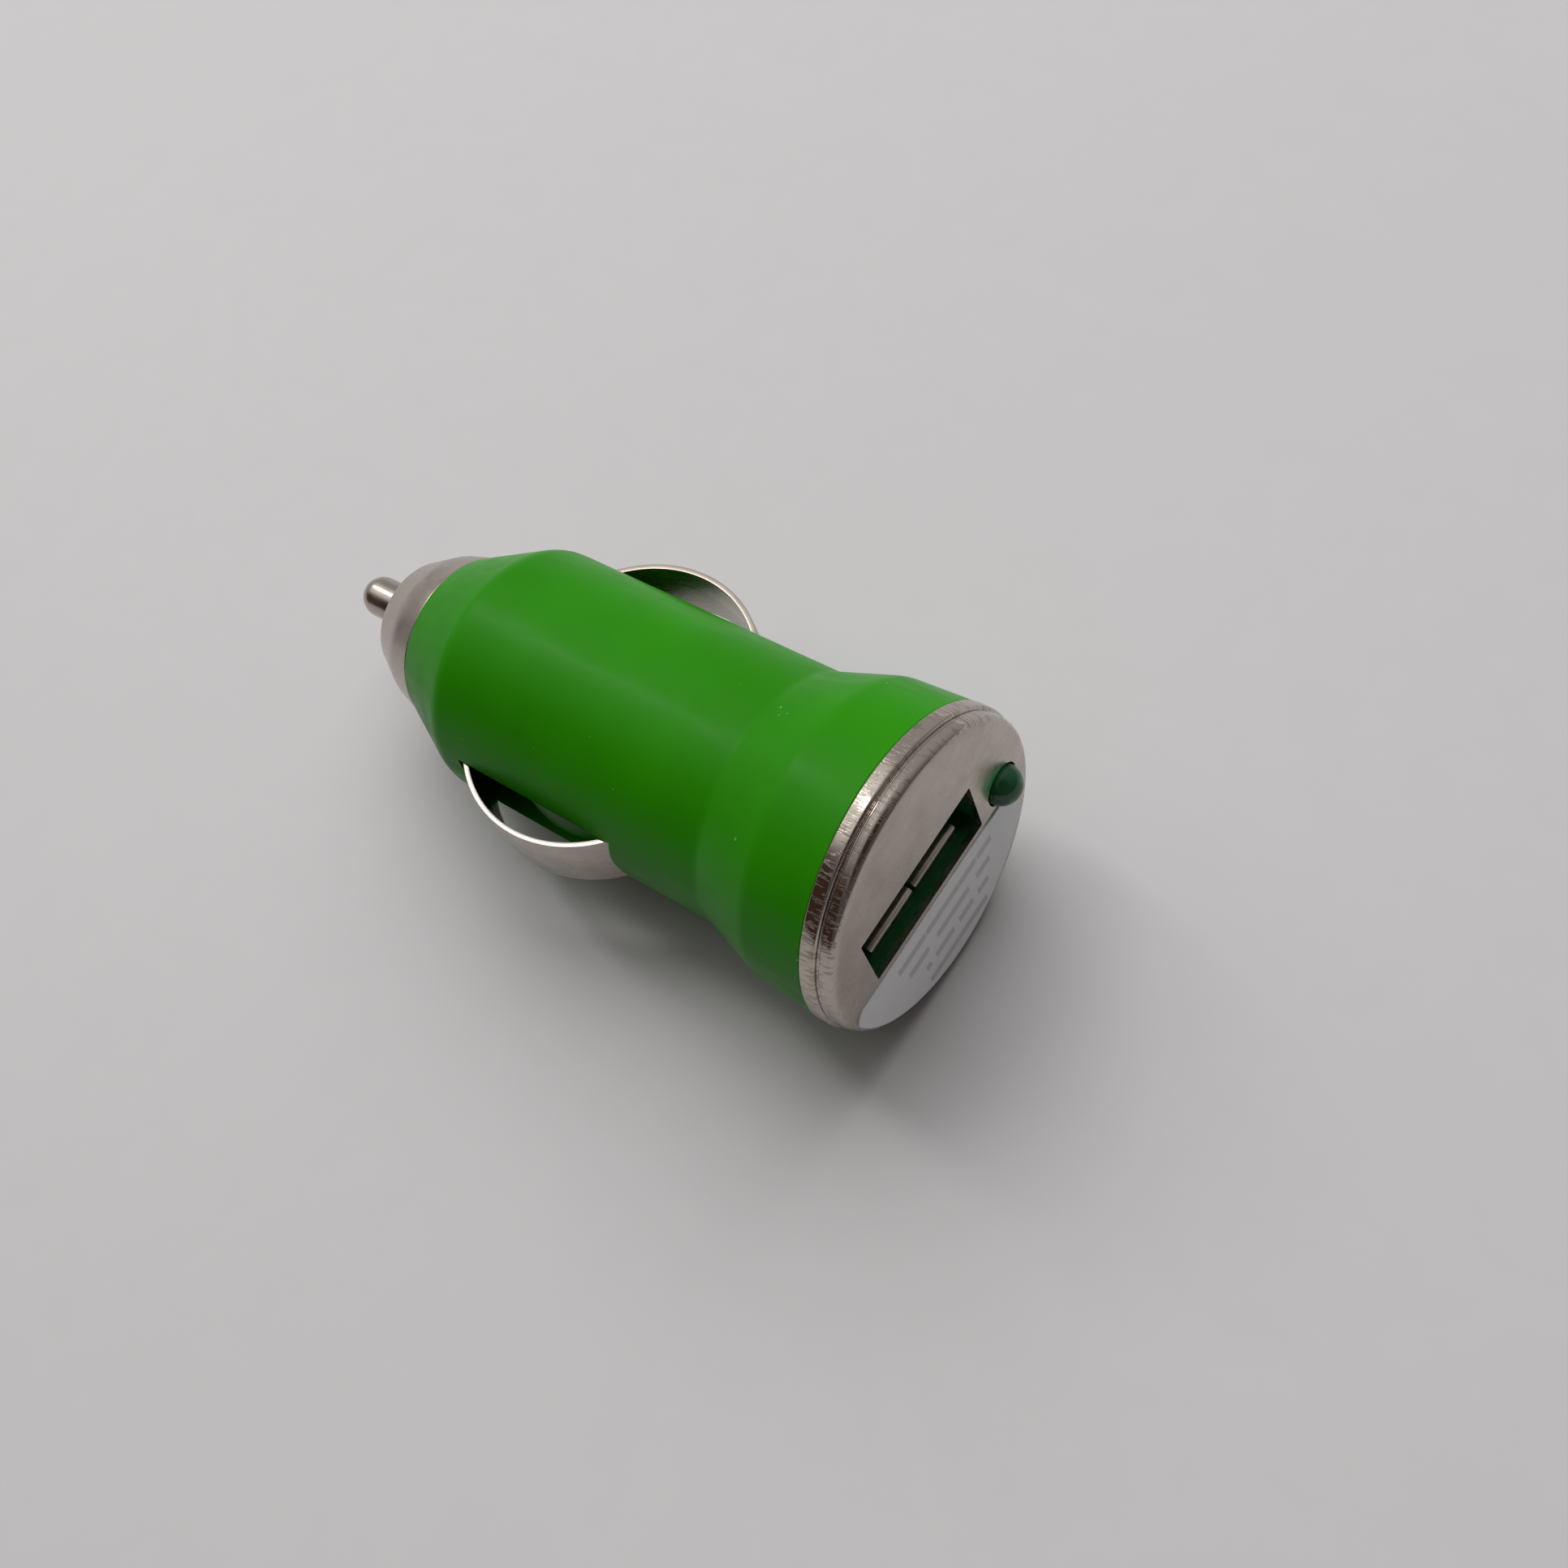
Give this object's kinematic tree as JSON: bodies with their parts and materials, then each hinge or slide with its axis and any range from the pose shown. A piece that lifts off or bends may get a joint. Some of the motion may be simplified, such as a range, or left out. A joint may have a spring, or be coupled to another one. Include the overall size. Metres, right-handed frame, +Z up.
{
  "type": "usb car charger",
  "caption": "Bullet-shaped car charger that plugs into a cigarette lighter socket: green flared barrel, plated end cap with a USB slot and lamp, two bowed side springs and a sprung centre tip.",
  "frame": {"origin": "on the charger's axis, level with the crowns of the two side springs", "axes": "+X along the axis out of the USB face, +Y across the side springs towards the lamp's side, +Z up as the charger lies on its side"},
  "size_m": [0.0555, 0.0238, 0.023],
  "materials": {
    "green_plastic": "glossy moulded",
    "nickel_plate": "satin nickel plate",
    "spring_steel": "nickel-plated strip",
    "paper_label": "matt paper",
    "lamp_epoxy": "clear green epoxy",
    "socket_plastic": "moulded",
    "contact_brass": "gold flashed",
    "board_laminate": "solder-masked laminate",
    "tinned_wire": "tinned",
    "black_epoxy": "moulded epoxy",
    "ferrite": "sintered ferrite",
    "copper_wire": "enamelled copper",
    "can_sleeve": "sleeved can",
    "ceramic": "fired ceramic",
    "red_wire": "insulated wire"
  },
  "bodies": {
    "charger": {"housing": "green_plastic", "end_cap": "nickel_plate", "face_sticker": "paper_label", "nose_ring": "nickel_plate", "contact_spring": "spring_steel", "spring_seat": "contact_brass", "side_lead_left": "red_wire", "side_lead_right": "red_wire", "led_lamp": "lamp_epoxy", "led_leads": "tinned_wire", "socket_block": "socket_plastic", "power_contact": "contact_brass", "data_minus_contact": "contact_brass", "data_plus_contact": "contact_brass", "ground_contact": "contact_brass", "grip_spring_left": "spring_steel", "grip_spring_right": "spring_steel", "circuit_board": "board_laminate", "converter_chip": "black_epoxy", "chip_pins": "tinned_wire", "inductor_core": "ferrite", "inductor_winding": "copper_wire", "input_capacitor": "can_sleeve", "output_capacitor": "can_sleeve", "diode": "black_epoxy", "diode_leads": "tinned_wire", "chip_resistors": "black_epoxy", "chip_capacitors": "ceramic"},
    "centre_pin": {"centre_pin": "nickel_plate"},
    "side_spring_left": {"side_spring_left": "spring_steel"},
    "side_spring_right": {"side_spring_right": "spring_steel"}
  },
  "joints": [
    {"name": "tip_slide", "type": "slide", "parent": "charger", "child": "centre_pin", "axis": [1, 0, 0], "range_m": [0, 0.003], "stiffness_N_per_m": 900, "deforming": ["contact_spring"]},
    {"name": "left_spring_slide", "type": "slide", "parent": "charger", "child": "side_spring_left", "axis": [0, 1, 0], "range_m": [0, 0.0026], "stiffness_N_per_m": 1500, "deforming": ["side_lead_left"]},
    {"name": "right_spring_slide", "type": "slide", "parent": "charger", "child": "side_spring_right", "axis": [0, -1, 0], "range_m": [0, 0.0026], "stiffness_N_per_m": 1500, "deforming": ["side_lead_right"]}
  ]
}
